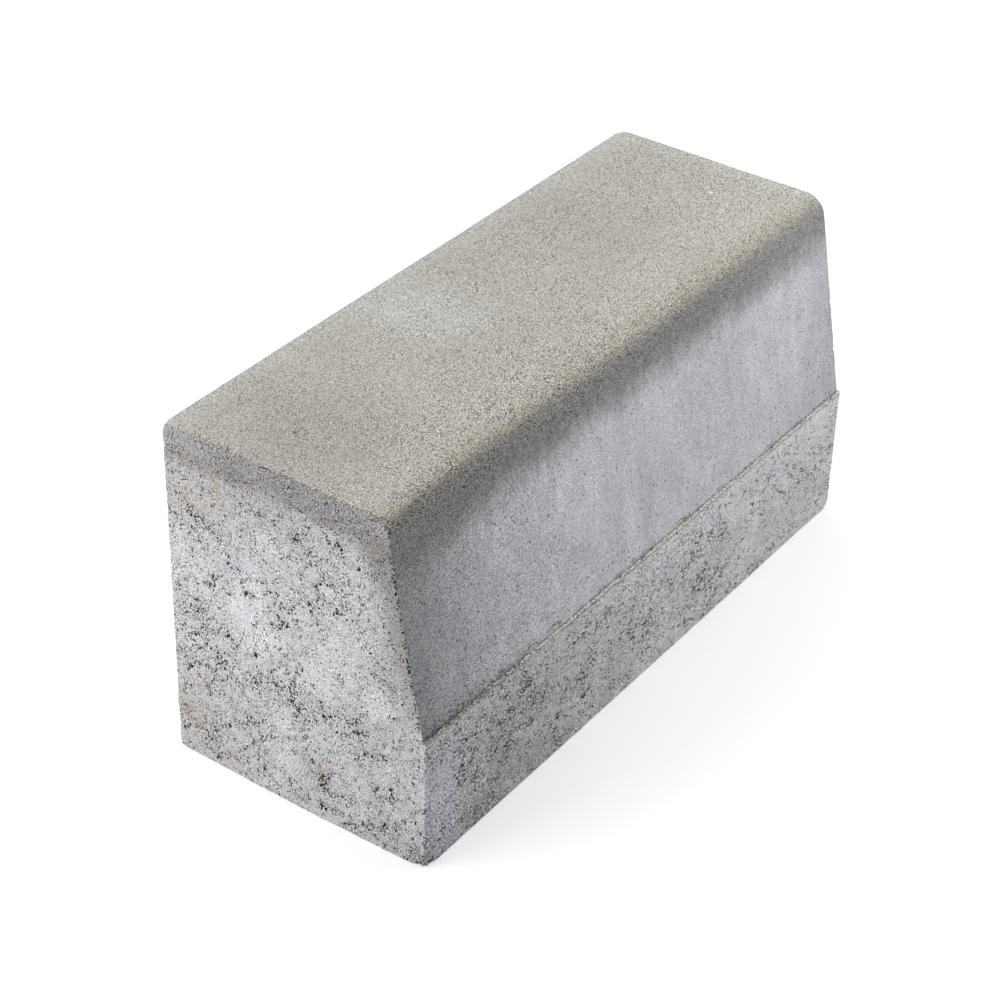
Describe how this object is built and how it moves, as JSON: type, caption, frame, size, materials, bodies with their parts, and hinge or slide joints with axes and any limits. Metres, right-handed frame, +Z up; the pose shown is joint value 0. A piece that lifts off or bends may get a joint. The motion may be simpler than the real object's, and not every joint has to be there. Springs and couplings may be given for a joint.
{
  "type": "concrete kerb stone",
  "caption": "Precast concrete kerb stone with a level top, rounded nose, battered road face and an upright lower band, for laying end to end along a road edge.",
  "frame": {"origin": "middle of the bed, on the surface the stone stands on", "axes": "+X along the stone's length, -Y out of the battered road face, +Y out of the upright back, +Z up out of the top"},
  "size_m": [0.5, 0.2, 0.25],
  "materials": {
    "cast_concrete": "matte"
  },
  "bodies": {
    "root": {"kerb_stone": "cast_concrete"}
  },
  "joints": []
}
